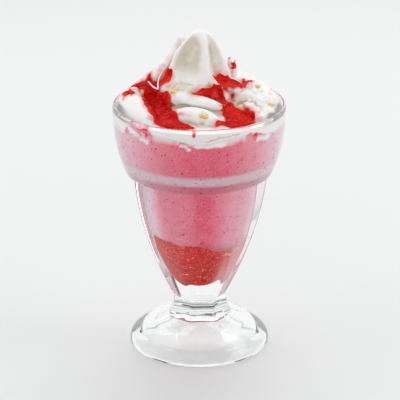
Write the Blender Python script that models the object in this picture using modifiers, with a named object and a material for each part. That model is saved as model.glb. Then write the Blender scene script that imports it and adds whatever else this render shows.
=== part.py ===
"""Strawberry milkshake in a footed soda glass, topped with whipped cream and sauce.

Four pieces, one object each: the glass, the sauce in its narrow bottom, the pink
milkshake above it, and the whipped cream with the thick sauce poured over it.
Lengths are in millimetres and MM turns them into metres. Origin: bottom centre of
the foot, +Z up, and the shown side faces -Y. Azimuths run from -Y towards +X.
"""

import math

import bmesh
import bpy
from mathutils import Matrix, Vector
from mathutils.bvhtree import BVHTree

MM = 0.001

# Driving dimensions of the glass.
GLASS_HEIGHT = 149.0
RIM_RADIUS = 50.0
RIM_WALL = 2.8
BAND_TOP = 147.0
BAND_BOTTOM = 108.4
BAND_TAPER = 7.4
BAND_POWER = 2.35
PANELS = 7
PANEL_TOP = 107.4
PANEL_RADIUS = 39.8
PANEL_EDGE_AZIMUTH = -17.9
PANEL_SHARPNESS = 40
NECK_HEIGHT = 31.5
NECK_RADIUS = 15.7
STEM_FOOT_HEIGHT = 19.5
FOOT_RADIUS = 41.0
CAVITY_BOTTOM = 40.8

# Driving dimensions of what fills it.
GAP = 0.3
SAUCE_LEVEL = 68.7
SAUCE_STEP = 2.7
SAUCE_STEP_WIDTH = 7.7
SAUCE_STEP_AZIMUTH = 95.0
MILK_LEVEL = 141.6
MILK_WAVE = 1.8
MILK_WAVES = 6
MILK_WAVE_AZIMUTH = 30.0

# The cream's peak.
PEAK_CENTRE = (-0.2, 2.0)
PEAK_BASE = 148.0
PEAK_TOP = 192.2
PEAK_SPREAD = 4.2
PEAK_POWER = 0.45
PEAK_FLATNESS = 0.82
PEAK_TILT = 0.3
PEAK_RIDGES = (-88.0, 16.0, 86.0, 140.0, 205.0)
FLUTE_DEPTH = 0.4
FLUTE_POWER = 1.5
FLUTE_TWIST = -20.0
FLUTE_ENDS = (0.2, 0.55, 0.8, 1.0)

# Fineness.
STEPS = 42
CREAM_VOXEL = 1.15
CREAM_FACES = 6400
DRIZZLE_GRID = 1.6
DRIZZLE_THICKNESS = 1.3


def new_collection(name, hidden=False):
    collection = bpy.data.collections.new(name)
    bpy.context.scene.collection.children.link(collection)
    collection.hide_render = hidden
    return collection


def new_object(name, mesh, collection):
    obj = bpy.data.objects.new(name, mesh)
    collection.objects.link(obj)
    return obj


def applied(obj):
    """Swap the object's mesh for the one its modifiers make."""
    graph = bpy.context.evaluated_depsgraph_get()
    mesh = bpy.data.meshes.new_from_object(obj.evaluated_get(graph))
    obj.modifiers.clear()
    old, obj.data = obj.data, mesh
    bpy.data.meshes.remove(old)
    mesh.name = obj.name
    return mesh


def material(name, colour, roughness, transmission=0.0):
    mat = bpy.data.materials.new(name)
    mat.use_nodes = True
    shader = mat.node_tree.nodes["Principled BSDF"]
    shader.inputs["Base Color"].default_value = (*colour, 1.0)
    shader.inputs["Roughness"].default_value = roughness
    shader.inputs["Metallic"].default_value = 0.0
    shader.inputs["Transmission Weight"].default_value = transmission
    return mat


# ---------------------------------------------------------------- profiles


def bezier(start, start_handle, end_handle, end, count):
    """Points along a cubic curve, both ends included."""
    points = []
    for i in range(count):
        t = i / (count - 1)
        s = 1 - t
        weights = (s**3, 3 * t * s**2, 3 * t**2 * s, t**3)
        corners = (start, start_handle, end_handle, end)
        points.append(
            tuple(sum(w * c[k] for w, c in zip(weights, corners)) for k in (0, 1))
        )
    return points


def band_radius(height):
    """Outer radius of the round band, nearly upright at the rim and curling in below."""
    drop = max(0.0, BAND_TOP - height) / (BAND_TOP - BAND_BOTTOM)
    return RIM_RADIUS - BAND_TAPER * drop**BAND_POWER


def outer_profile():
    """(radius, height) down the outside, from the rim to the middle of the underside."""
    band = [
        (band_radius(z), z) for z in (BAND_TOP, 139, 131, 124, 117, 111.5, BAND_BOTTOM)
    ]
    bowl = bezier(
        (PANEL_RADIUS, PANEL_TOP), (37.4, 77.5), (24.8, 48), (NECK_RADIUS, NECK_HEIGHT), 10
    )
    stem = [(16.0, 27.5), (17.2, 23.0), (19.6, STEM_FOOT_HEIGHT)]
    dome = bezier((19.6, STEM_FOOT_HEIGHT), (27.5, 18), (32.5, 12.5), (35.2, 8.4), 5)[1:]
    edge = [(37.8, 7.6), (40.3, 5.6), (FOOT_RADIUS, 3.2), (40.5, 1.0), (39.4, 0.0)]
    underside = [(35.8, 0.0), (34.4, 1.2), (31.6, 5.4), (24.5, 10.2), (13, 12.8), (0, 13.4)]
    return band + bowl + stem + dome + edge + underside


def cavity_profile():
    """(radius, height) up the inside, from the bottom's centre to the rim."""
    bottom = bezier((0, CAVITY_BOTTOM), (12, CAVITY_BOTTOM), (13.5, 50), (19.6, 61.5), 6)
    side = bezier((19.6, 61.5), (21.6, 70), (24.6, 86), (25.4, 103), 5)[1:]
    wall = RIM_WALL + 0.3
    shelf_top = (band_radius(121) - wall, 121)
    shoulder = bezier((25.4, 103), (25.8, 109.5), (38.5, 110), shelf_top, 6)[1:]
    band = [(band_radius(z) - wall, z) for z in (131, 142)]
    return bottom + side + shoulder + band


def rim_profile():
    inner = RIM_RADIUS - RIM_WALL
    middle = RIM_RADIUS - RIM_WALL / 2
    return [(inner, BAND_TOP), (middle - 0.6, GLASS_HEIGHT), (middle + 0.6, GLASS_HEIGHT)]


def cavity_radius(height):
    """Radius of the faceted cavity at a height, read along its own profile."""
    profile = cavity_profile() + rim_profile()[:1]
    for (r0, z0), (r1, z1) in zip(profile, profile[1:]):
        if z0 <= height <= z1 and z1 > z0:
            return r0 + (r1 - r0) * (height - z0) / (z1 - z0)
    return profile[-1][0]


# ---------------------------------------------------------------- turned solids


def turned(name, profile, collection, reshape=None):
    """Screw a closed profile round Z, turn it so that its columns meet the panels'
    edges, and move each point by reshape(point)."""
    mesh = bpy.data.meshes.new(name)
    verts = [(r * MM, 0.0, z * MM) for r, z in profile]
    mesh.from_pydata(verts, [(i, i + 1) for i in range(len(verts) - 1)], [])
    obj = new_object(name, mesh, collection)
    screw = obj.modifiers.new("turn", "SCREW")
    screw.steps = screw.render_steps = STEPS
    screw.use_merge_vertices = True
    screw.merge_threshold = 0.00001
    mesh = applied(obj)
    mesh.transform(Matrix.Rotation(math.radians(PANEL_EDGE_AZIMUTH - 90), 4, "Z"))
    if reshape:
        for vertex in mesh.vertices:
            vertex.co = reshape(vertex.co / MM) * MM
    bm = bmesh.new()
    bm.from_mesh(mesh)
    bmesh.ops.recalc_face_normals(bm, faces=bm.faces)
    bmesh.ops.triangulate(bm, faces=[f for f in bm.faces if len(f.verts) > 3])
    bm.to_mesh(mesh)
    bm.free()
    mesh.shade_smooth()
    mesh.set_sharp_from_angle(angle=math.radians(25))
    return obj


def panel_factor(azimuth):
    """How far a panel's face lies inside the circle through the panels' edges."""

    def across(angle):
        total = 0.0
        for k in range(PANELS):
            centre = math.radians(PANEL_EDGE_AZIMUTH + (k + 0.5) * 360 / PANELS)
            total += max(0.0, math.cos(angle - centre)) ** PANEL_SHARPNESS
        return total ** (-1 / PANEL_SHARPNESS)

    return across(azimuth) / across(math.radians(PANEL_EDGE_AZIMUTH))


def panelled(point):
    """Press the seven panels into the bowl and stem, fading out where the foot begins."""
    radius = math.hypot(point.x, point.y)
    outside = radius > cavity_radius(point.z) + 0.5 or point.z < CAVITY_BOTTOM - 0.1
    if radius < 15 or not outside or point.z > PANEL_TOP + 0.1:
        return point
    fade = min(1.0, max(0.0, (point.z - STEM_FOOT_HEIGHT + 4) / 5))
    factor = 1 + fade * (panel_factor(math.atan2(point.x, -point.y)) - 1)
    return Vector((point.x * factor, point.y * factor, point.z))


def make_glass(collection):
    profile = cavity_profile() + rim_profile() + outer_profile()
    return turned("glass", profile, collection, panelled)


# ---------------------------------------------------------------- the filling


def sauce_level(x, y):
    """Top of the bottom sauce: a slope from the left down to the right, with ripples."""
    azimuth = math.radians(SAUCE_STEP_AZIMUTH)
    across = x * math.sin(azimuth) - y * math.cos(azimuth)
    ripple = 0.5 * math.sin(0.35 * x + 1.0) * math.cos(0.3 * y)
    return SAUCE_LEVEL - SAUCE_STEP * math.tanh(across / SAUCE_STEP_WIDTH) + ripple


def milk_level(x, y):
    """Top of the milkshake: waves round the wall that die out towards the middle."""
    azimuth = math.atan2(x, -y) - math.radians(MILK_WAVE_AZIMUTH)
    out = min(1.0, math.hypot(x, y) / RIM_RADIUS)
    return MILK_LEVEL + out * MILK_WAVE * math.cos(MILK_WAVES * azimuth)


def surface_rings(level, rings=4):
    """Profile points from the wall to the axis, at a marked height that reshape moves."""
    wall = cavity_radius(level) - GAP
    return [(wall * (rings - i) / rings, level) for i in range(rings + 1)]


def wall_points(low, high):
    """Points of the cavity's own profile between two heights, a gap inside it."""
    return [(r - GAP, z) for r, z in cavity_profile() if low < z < high and r > GAP]


def lay_on(level, surface, shift):
    """A reshape that lifts the points at one height onto a surface, out to the wall."""

    def move(point):
        if abs(point.z - level) > 1e-3:
            return point
        height = surface(point.x, point.y) + shift
        wall = cavity_radius(level) - GAP
        scale = (cavity_radius(height) - GAP) / wall
        return Vector((point.x * scale, point.y * scale, height))

    return move


def make_bottom_sauce(collection):
    low = CAVITY_BOTTOM + GAP
    wall = wall_points(low, SAUCE_LEVEL - SAUCE_STEP - 1.5)
    top = surface_rings(SAUCE_LEVEL)
    move = lay_on(SAUCE_LEVEL, sauce_level, -GAP / 2)
    return turned("strawberry_sauce", [(0, low)] + wall + top, collection, move)


def make_milkshake(collection):
    bottom = surface_rings(SAUCE_LEVEL)[::-1]
    wall = wall_points(SAUCE_LEVEL + SAUCE_STEP + 1.5, MILK_LEVEL - MILK_WAVE - 1)
    top = surface_rings(MILK_LEVEL)
    lower = lay_on(SAUCE_LEVEL, sauce_level, GAP / 2)
    upper = lay_on(MILK_LEVEL, milk_level, -GAP / 2)
    return turned("milkshake", bottom + wall + top, collection, lambda p: upper(lower(p)))


def make_cream_mould(collection):
    """The room the cream may fill: the cavity above the milkshake, open above the rim."""
    bottom = surface_rings(MILK_LEVEL)[::-1]
    rim = [(RIM_RADIUS - RIM_WALL - GAP, BAND_TOP), (RIM_RADIUS - RIM_WALL - GAP, GLASS_HEIGHT)]
    above = [(RIM_RADIUS + 3, GLASS_HEIGHT + 3), (RIM_RADIUS + 3, PEAK_TOP + 10), (0, PEAK_TOP + 10)]
    move = lay_on(MILK_LEVEL, milk_level, GAP / 2)
    return turned("cream_mould", bottom + rim + above, collection, move)


# ---------------------------------------------------------------- the cream

# Strokes of cream, each a row of (x, y, z, radius) along its middle.
STROKES = {
    "back_fin": (
        (-38, 5, 151.5, 5), (-33, 8, 155.5, 5), (-25, 11.5, 160, 5.2),
        (-15.6, 12, 169.5, 5), (-12.8, 12, 179.8, 2.6), (-12, 12, 184.6, 1.1),
    ),
    "fin_web": ((-15, 12, 158, 6), (-10, 13, 170, 5), (-8.5, 12.5, 179, 3.5), (-8.5, 12, 184, 1.4)),
    "left_lobe": (
        (-40, 6, 150, 6), (-39.5, 0, 150.6, 7), (-37, -9, 149.8, 7.5),
        (-33, -20, 148.6, 6.6), (-27.5, -29, 147.0, 4.6),
    ),
    "left_bed": ((-34, 3, 153, 4.5), (-27, 2, 155, 5), (-20, 0, 156.5, 5), (-15, -3, 158, 5)),
    "left_spur": ((-36, 1, 155, 2.5), (-37.5, -2, 157.6, 2.0), (-39.5, -4, 158, 1.2)),
    "skirt_front": ((-11, -11, 160, 3.4), (-2, -15, 159.6, 3.8), (9, -13.5, 160.4, 2.2)),
    "skirt_right": ((1.5, -8.5, 172, 2.6), (6, -11, 165.6, 2.6), (12, -12, 161.6, 1.6)),
    "ribbon_root": ((-20.5, -9, 155.2, 3.4), (-17, -12, 156.2, 4.8), (-12, -14, 156, 4.8)),
    "ribbon": (
        (-16, -13, 157.5, 4.6), (-10, -16.5, 157.6, 4.8), (-1, -19.5, 156.4, 4.6),
        (7, -21.5, 154.9, 4.0), (11.5, -22, 154.0, 2.6),
    ),
    "curl": (
        (-12, -26, 149.5, 5.0), (-6, -28, 151, 6.0), (2, -30.5, 150.6, 6.0),
        (9, -34, 147.8, 4.8), (14, -38, 145.6, 3.2),
    ),
    "blob_shelf": ((10, -2, 161.5, 5.5), (16, -3, 159.5, 5), (22, -4, 158, 4.2)),
    "right_lobe": ((24, -4, 153, 6), (28, -5, 153.5, 7), (35, -9, 150.6, 7.5), (37.5, -18, 147, 6.2)),
    "right_back_lobe": ((22, 9, 153, 8), (29, 10, 154.2, 7.2), (36, 8, 151.5, 6.6), (40, -3, 149.4, 6)),
    "right_knob": ((29, -3, 157.5, 4.5), (35, -1, 157.2, 4), (37.6, -6, 155.5, 3)),
    "right_crumple": ((33, -12, 154, 3.6), (38, -11, 153.2, 3.2), (41, -5, 152.8, 3)),
    "right_edge": ((28, -17, 151.5, 3.6), (33, -21, 149.8, 4), (35.5, -27, 147.4, 3.4)),
    "right_tip": ((13, 4, 157, 6), (16, 6, 163, 3.6), (17.4, 8, 169, 1.7), (17.6, 9, 173.4, 0.9)),
    "right_spike": ((18, 4, 158, 4.5), (20, 6, 164, 2.4), (20.5, 7.5, 169, 1.3), (20.7, 8.5, 172, 0.8)),
    "back_lobe": ((-25, 27, 148, 9), (-8, 33, 151, 10), (10, 31, 151.5, 10), (26, 25, 149, 9)),
    "back_fold": ((14, 14, 159, 6), (4, 22, 160, 6.5), (-9, 23, 159, 6.5), (-20, 17, 156, 6)),
}
FLAT_STROKES = {"ribbon": 0.72, "curl": 0.8, "ribbon_root": 0.8}

# Poured sauce as seen from above, each a row of (x, y, half width).
DRIZZLE = (
    ((-38, 4.5, 1.8), (-33, 2.5, 3.4), (-27, 1.2, 4.8), (-20.5, 1, 4.2), (-17, -2, 2.2)),
    ((-29, 8, 1.6), (-28.5, 1, 3.6), (-27.5, -6, 5.6), (-25.5, -14, 7.0), (-22.5, -22, 7.6)),
    ((-22.5, -22, 7.6), (-19, -31, 6.4), (-15.5, -36, 6.2), (-9, -38.5, 4.0), (-4, -40.5, 1.8)),
    ((-20.5, 1, 1.4), (-17.5, -3.5, 1.2)),
    ((-43, -3, 1.6), (-41, -6, 2.3), (-38, -7.5, 1.8)),
    ((8.5, -8, 1.4), (12, -6.2, 2.8), (17, -4.8, 3.0), (23, -5.2, 2.2)),
    ((-3, -17.5, 1.0), (4, -16.5, 1.9), (11, -13.8, 2.2), (15.5, -12.6, 2.0)),
    ((18, -12.8, 1.9), (17.5, -17, 3.8), (20, -23, 7.4), (23, -28, 9.2), (21.5, -33, 7.8)),
    ((17, -36, 3.0), (10.5, -38, 1.6)),
    ((19.2, 9, 1.2), (19.6, 7, 1.5), (20, 5.4, 1.1)),
    ((25.5, 8, 1.0), (26, 5, 1.4), (29.5, 6, 1.0)),
    ((24.5, -4.8, 1.0), (28, -3.6, 1.3)),
    ((-6, 30, 5.0), (4, 33, 4.0), (13, 29, 3.0)),
)

# Golden drops pressed into the cream, each (x, y, radius).
BEADS = ((-14.6, -15, 2.2), (24, -12.5, 2.5), (2.6, -35.3, 2.0), (40.5, -15.5, 1.6), (33.2, -4, 1.4))


def stroke_object(name, points, collection):
    """A tapering tube along a smooth curve, pressed flat where FLAT_STROKES says so."""
    flat = FLAT_STROKES.get(name, 1.0)
    curve = bpy.data.curves.new(name, "CURVE")
    curve.dimensions = "3D"
    curve.bevel_depth = MM
    curve.bevel_resolution = 4
    curve.use_fill_caps = True
    curve.resolution_u = 6
    spline = curve.splines.new("NURBS")
    spline.points.add(len(points) - 1)
    spline.order_u = 3
    spline.use_endpoint_u = True
    for place, (x, y, z, radius) in zip(spline.points, points):
        place.co = (x * MM, y * MM, z * MM / flat, 1.0)
        place.radius = radius
    obj = new_object(name, curve, collection)
    graph = bpy.context.evaluated_depsgraph_get()
    mesh = bpy.data.meshes.new_from_object(obj.evaluated_get(graph))
    bpy.data.objects.remove(obj)
    bm = bmesh.new()
    bm.from_mesh(mesh)
    bmesh.ops.remove_doubles(bm, verts=bm.verts, dist=0.00001)
    for end in (points[0], points[-1]):
        centre = Matrix.Translation(Vector((end[0], end[1], end[2] / flat)) * MM)
        bmesh.ops.create_uvsphere(
            bm, u_segments=12, v_segments=8, radius=end[3] * MM, matrix=centre
        )
    bm.to_mesh(mesh)
    bm.free()
    mesh.transform(Matrix.Diagonal((1, 1, flat, 1)))
    return new_object(name, mesh, collection)


def peak_radius(height):
    """A dome that opens out downwards, as measured on its outline."""
    return PEAK_SPREAD * (PEAK_TOP - height) ** PEAK_POWER + 0.3


def flute_factor(azimuth, height):
    """Sharp ridges with hollow flutes between them, twisting a little as they rise and
    fading out into the skirt and towards the tip."""
    rise = (height - PEAK_BASE) / (PEAK_TOP - PEAK_BASE)
    degrees = (math.degrees(azimuth) + FLUTE_TWIST * (rise - 0.6)) % 360
    low, full, waning, high = FLUTE_ENDS
    depth = FLUTE_DEPTH * max(0.0, min(1.0, (rise - low) / (full - low), (high - rise) / (high - waning)))
    ridges = sorted(r % 360 for r in PEAK_RIDGES)
    ridges = [ridges[-1] - 360] + ridges + [ridges[0] + 360]
    for start, end in zip(ridges, ridges[1:]):
        if start <= degrees <= end:
            across = math.sin(math.pi * (degrees - start) / (end - start))
            return 1 - depth * across**FLUTE_POWER
    return 1.0


def fluted(point):
    factor = flute_factor(math.atan2(point.x, -point.y), point.z)
    lean_x, lean_y = PEAK_CENTRE
    x, y = point.x * factor, point.y * factor * PEAK_FLATNESS
    near_top = min(1.0, max(0.0, (point.z - PEAK_TOP) / 12 + 1))
    z = point.z + PEAK_TILT * near_top * min(0.0, x)
    return Vector((x + lean_x, y + lean_y, z))


def make_peak(collection):
    rings = 16
    heights = [PEAK_BASE + (PEAK_TOP - 2 - PEAK_BASE) * i / rings for i in range(rings + 1)]
    profile = [(0, PEAK_TOP - 1.8), (2.2, PEAK_TOP - 0.8), (3.4, PEAK_TOP)]
    profile += [(peak_radius(z), z) for z in sorted(heights, reverse=True)]
    profile += [(0, PEAK_BASE)]
    return turned("peak", profile, collection, fluted)


def make_mound(collection):
    """The bed of cream that fills the glass to the rim and bulges up to the middle."""
    profile = [(0, 157), (14, 155), (25, 151.5), (34, 148.6), (41, 147.2), (46, 146.6)]
    profile += [(49, 146), (49, MILK_LEVEL - 6), (0, MILK_LEVEL - 6)]
    return turned("mound", profile, collection)


def joined(name, objects, collection):
    """Every object's mesh in one, with the objects removed."""
    bm = bmesh.new()
    for obj in objects:
        bm.from_mesh(obj.data)
    mesh = bpy.data.meshes.new(name)
    bm.to_mesh(mesh)
    bm.free()
    for obj in objects:
        bpy.data.objects.remove(obj)
    return new_object(name, mesh, collection)


def melted(obj, voxel, smoothing):
    """Fuse overlapping shapes into one skin and soften it."""
    remesh = obj.modifiers.new("fuse", "REMESH")
    remesh.mode = "VOXEL"
    remesh.voxel_size = voxel * MM
    smooth = obj.modifiers.new("soften", "SMOOTH")
    smooth.factor = 0.5
    smooth.iterations = smoothing
    return applied(obj)


def drizzle_reach(x, y):
    """How far inside the poured sauce a place is, in millimetres, negative outside."""
    here = Vector((x, y))
    reach = -99.0
    for stroke in DRIZZLE:
        for (x0, y0, w0), (x1, y1, w1) in zip(stroke, stroke[1:]):
            start, along = Vector((x0, y0)), Vector((x1 - x0, y1 - y0))
            t = (here - start).dot(along) / along.length_squared
            t = min(1.0, max(0.0, t))
            width = w0 + (w1 - w0) * t
            reach = max(reach, width - (here - start - along * t).length)
    edge = 0.6 * math.sin(0.9 * x + 0.4 * y) * math.cos(0.8 * y - 0.3 * x)
    return reach + edge


def surface_finder(obj):
    """A function that drops straight down on the object: place (x, y) to point, normal."""
    tree = BVHTree.FromPolygons(
        [v.co for v in obj.data.vertices], [p.vertices[:] for p in obj.data.polygons]
    )
    return lambda x, y: tree.ray_cast(Vector((x, y, 260)) * MM, Vector((0, 0, -1)))[:2]


def make_drizzle(surface, collection):
    """The thick sauce: a sheet laid on the cream wherever the pour reaches."""
    bm = bmesh.new()
    nodes = {}
    count = int(RIM_RADIUS / DRIZZLE_GRID)
    for i in range(-count, count + 1):
        for j in range(-count, count + 1):
            x, y = i * DRIZZLE_GRID, j * DRIZZLE_GRID
            reach = drizzle_reach(x, y)
            if reach < 0 or math.hypot(x, y) > RIM_RADIUS - RIM_WALL - 3:
                continue
            point, normal = surface(x, y)
            lift = min(1.0, 0.35 + 0.25 * reach) * DRIZZLE_THICKNESS
            nodes[i, j] = bm.verts.new(point + normal * lift * MM)
    for (i, j), corner in nodes.items():
        others = [nodes.get(k) for k in ((i + 1, j), (i + 1, j + 1), (i, j + 1))]
        if None not in others:
            bm.faces.new([corner] + others)
    bmesh.ops.delete(bm, geom=[v for v in bm.verts if not v.link_faces], context="VERTS")
    bmesh.ops.smooth_vert(bm, verts=bm.verts, factor=0.5, use_axis_z=True)
    mesh = bpy.data.meshes.new("drizzle")
    bm.to_mesh(mesh)
    bm.free()
    obj = new_object("drizzle", mesh, collection)
    shell = obj.modifiers.new("thickness", "SOLIDIFY")
    shell.thickness = 3 * DRIZZLE_THICKNESS * MM
    shell.offset = -1
    applied(obj)
    return obj


def make_beads(surface, collection):
    bm = bmesh.new()
    for x, y, radius in BEADS:
        place = Matrix.Translation(surface(x, y)[0])
        bmesh.ops.create_uvsphere(
            bm, u_segments=12, v_segments=8, radius=radius * MM, matrix=place
        )
    mesh = bpy.data.meshes.new("beads")
    bm.to_mesh(mesh)
    bm.free()
    return new_object("beads", mesh, collection)


def make_cream(collection, guides):
    """Peak, strokes and mound fused, the sauce and drops laid on, all cut to the room."""
    shapes = [make_peak(guides), make_mound(guides)]
    shapes += [stroke_object(name, points, guides) for name, points in STROKES.items()]
    cream = joined("whipped_cream", shapes, collection)
    melted(cream, CREAM_VOXEL, 2)
    surface = surface_finder(cream)
    toppings = [make_drizzle(surface, guides), make_beads(surface, guides)]
    whole = joined("whipped_cream", [cream] + toppings, collection)
    whole.name = "whipped_cream"
    melted(whole, CREAM_VOXEL, 2)
    fewer = whole.modifiers.new("fewer", "DECIMATE")
    fewer.ratio = min(1.0, CREAM_FACES / (2 * len(whole.data.polygons)))
    applied(whole)
    room = make_cream_mould(guides)
    room.display_type = "WIRE"
    room.hide_render = True
    cut = whole.modifiers.new("room", "BOOLEAN")
    cut.operation = "INTERSECT"
    cut.object = room
    whole.data.shade_smooth()
    return whole


def main():
    for obj in list(bpy.data.objects):
        bpy.data.objects.remove(obj)
    parts = new_collection("strawberry_milkshake")
    guides = new_collection("guides", hidden=True)
    looks = {
        "glass": material("clear_glass", (0.95, 0.97, 0.97), 0.02, 1.0),
        "strawberry_sauce": material("red_sauce", (0.45, 0.03, 0.025), 0.25),
        "milkshake": material("pink_milkshake", (0.72, 0.15, 0.2), 0.45),
        "whipped_cream": material("cream_with_sauce", (0.87, 0.84, 0.79), 0.5),
    }
    made = [make_glass(parts), make_bottom_sauce(parts), make_milkshake(parts)]
    made.append(make_cream(parts, guides))
    for obj in made:
        obj.data.materials.clear()
        obj.data.materials.append(looks[obj.name])


main()
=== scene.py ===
"""Looks of a strawberry milkshake in a footed soda glass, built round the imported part.

Lengths are in millimetres and MM turns them into metres. Azimuths run from -Y, the
shown side, towards +X. Every piece keeps the form of the solid that it stands for.
"""

import math

import bmesh
import bpy
import numpy as np
from mathutils import Matrix, Vector, noise
from mathutils.bvhtree import BVHTree

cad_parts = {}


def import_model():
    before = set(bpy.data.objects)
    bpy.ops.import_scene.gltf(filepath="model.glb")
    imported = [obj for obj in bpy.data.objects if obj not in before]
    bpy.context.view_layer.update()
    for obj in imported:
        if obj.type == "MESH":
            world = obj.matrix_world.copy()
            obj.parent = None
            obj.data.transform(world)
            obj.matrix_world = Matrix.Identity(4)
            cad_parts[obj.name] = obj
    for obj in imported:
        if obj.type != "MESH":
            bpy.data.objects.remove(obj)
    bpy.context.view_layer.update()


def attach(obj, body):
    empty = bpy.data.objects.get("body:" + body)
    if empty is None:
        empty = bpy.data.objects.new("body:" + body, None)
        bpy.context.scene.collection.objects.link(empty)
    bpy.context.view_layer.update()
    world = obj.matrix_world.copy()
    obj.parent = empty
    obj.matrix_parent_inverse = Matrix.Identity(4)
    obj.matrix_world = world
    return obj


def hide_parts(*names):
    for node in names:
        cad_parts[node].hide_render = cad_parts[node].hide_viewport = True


MM = 0.001

# The glass.
GLASS_HEIGHT = 149.0
RIM_RADIUS = 50.0
RIM_WALL = 2.8
RIM_HANDLE_RISE = 1.1
RIM_HANDLE_REACH = 0.8
RIM_STEPS = 6
BAND_TOP = 147.0
BAND_BOTTOM = 108.4
BAND_TAPER = 7.4
BAND_POWER = 2.35
BAND_ROWS = 34
LEDGE_ROUNDING = 0.6
LEDGE_HANDLE_IN = 0.3
LEDGE_HANDLE_OUT = 0.6
LEDGE_STEPS = 8
PANELS = 7
PANEL_TOP = 107.4
PANEL_RADIUS = 39.8
PANEL_EDGE_AZIMUTH = -17.9
PANEL_SHARPNESS = 40
PANEL_ROUNDING = 0.7
PANEL_LEAST_RADIUS = 15
PANEL_FADE_BELOW = 4
PANEL_FADE_HEIGHT = 5
OFF_CAVITY_WALL = 0.5
OFF_CAVITY_FLOOR = 0.1
SHARP_ANGLE = 40

# Where the outside's curves meet, as (radius, height), from the panels' top down.
PANEL_TOP_EDGE = (PANEL_RADIUS, PANEL_TOP)
NECK = (15.7, 31.5)
STEM_FOOT = (19.6, 19.5)
FOOT_BEAD = (35.2, 8.4)
FOOT_EDGE = (40.4, 5.4)
# Each curve's start, two handles, end and number of points.
OUTSIDE_CURVES = (
    (PANEL_TOP_EDGE, (37.4, 77.5), (24.8, 48), NECK, 60),
    (NECK, (15.6, 29), (16.2, 23), STEM_FOOT, 16),
    (STEM_FOOT, (27.5, 18), (32.5, 12.5), FOOT_BEAD, 18),
    (FOOT_BEAD, (36.4, 8.4), (39.2, 7.9), FOOT_EDGE, 8),
    (FOOT_EDGE, (41.6, 3.2), (41.2, 0.0), (39.4, 0.0), 9),
)
UNDERSIDE_CURVE = ((35.8, 0.0), (33.0, 0.0), (32.2, 13.4), (0, 13.4), 26)

# The space inside, from its bottom up, in the same terms.
CAVITY_BOTTOM = 40.8
CAVITY_NECK = (19.6, 61.5)
CAVITY_SHELF = (25.4, 103)
CAVITY_FLOOR_CURVE = ((0, CAVITY_BOTTOM), (12, CAVITY_BOTTOM), (13.5, 50), CAVITY_NECK, 22)
CAVITY_SIDE_CURVE = (CAVITY_NECK, (21.6, 70), (24.6, 86), CAVITY_SHELF, 24)
CAVITY_SHOULDER_HANDLES = ((25.8, 109.5), (38.5, 110))
CAVITY_SHOULDER_STEPS = 18
CAVITY_BAND = (121, 142)
CAVITY_BAND_ROWS = 12
CAVITY_BAND_WALL = RIM_WALL + 0.3

# What fills it.
SAUCE_LEVEL = 68.7
SAUCE_STEP = 2.7
SAUCE_STEP_WIDTH = 7.7
SAUCE_STEP_AZIMUTH = 95.0
SAUCE_RIPPLE = 0.5
SAUCE_RIPPLE_ALONG = 0.35
SAUCE_RIPPLE_ACROSS = 0.3
SAUCE_RIPPLE_START = 1
SAUCE_GRAIN = 0.45
SAUCE_OVERLAP = 0.1
SAUCE_MARGIN = 1.5
MILK_LEVEL = 141.6
MILK_WAVE = 1.8
MILK_WAVES = 6
MILK_WAVE_AZIMUTH = 30.0
MILK_MARGIN = 1.0
INTO_WALL = 0.15
INTO_FLOOR = 0.1
MARK_TOLERANCE = 1e-3

# The cream's peak.
PEAK_CENTRE = (-0.2, 2.0)
PEAK_BASE = 148.0
PEAK_TOP = 192.2
PEAK_SPREAD = 4.2
PEAK_POWER = 0.45
PEAK_SKIN = 0.3
PEAK_LEAST_DROP = 0.1
PEAK_FLATNESS = 0.82
PEAK_TILT = 0.3
PEAK_TILT_HEIGHT = 12
PEAK_CAP = ((0, -1.8), (2.2, -0.8), (3.4, 0.0))
PEAK_CAP_DEPTH = 2
PEAK_RIDGES = (-88.0, 16.0, 86.0, 140.0, 205.0)
FLUTE_DEPTH = 0.4
FLUTE_POWER = 1.5
FLUTE_TWIST = -20.0
FLUTE_UNTWISTED = 0.6
FLUTE_ENDS = (0.2, 0.55, 0.8, 1.0)

# Fineness.
GLASS_STEPS = 210
FILL_STEPS = 280
LEVEL_RINGS = 12
WALL_SPACING = 0.7
PEAK_STEPS = 140
PEAK_RINGS = 70
STROKE_BEVEL = 6
STROKE_STEPS = 12
CAP_SEGMENTS = (24, 14)
BEAD_SEGMENTS = (32, 20)
CREAM_VOXEL = 0.62
CREAM_SOFTENING = 5
DRIZZLE_GRID = 0.55
DRIZZLE_VOXEL = 0.42
DRIZZLE_SOFTENING = 4
MERGE_DISTANCE = 0.01
SMOOTHING = 0.5

# Noise as (feature size, roughness, octaves), and the lacunarity where it isn't 2.
SAUCE_GRAINS = (1.8, 0.6, 3)
RAGGED_EDGES = (3.5, 0.8, 3)
CREAM_UNEVENNESS = (6.0, 0.7, 3, 2.1)
STAIN_BREAKS = (5.0, 0.8, 2)
DRIZZLE_LUMPS = (3.2, 0.8, 3)

# The camera, at the photograph's viewing angle.
CAMERA_DISTANCE = 1300.0
CAMERA_HEIGHT = 586.2
CAMERA_PITCH = 20.93
CAMERA_LENS = 214.3
CAMERA_SHIFT_X = 0.002


# ---- helpers


def new_object(name, data):
    obj = bpy.data.objects.new(name, data)
    bpy.context.scene.collection.objects.link(obj)
    return obj


def applied(obj):
    """Swap the object's mesh for the one its modifiers make."""
    graph = bpy.context.evaluated_depsgraph_get()
    mesh = bpy.data.meshes.new_from_object(obj.evaluated_get(graph))
    obj.modifiers.clear()
    old, obj.data = obj.data, mesh
    bpy.data.meshes.remove(old)
    mesh.name = obj.name
    return mesh


def object_from(name, bm):
    """A new object with the shape of the bmesh, which is freed."""
    mesh = bpy.data.meshes.new(name)
    bm.to_mesh(mesh)
    bm.free()
    return new_object(name, mesh)


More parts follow.
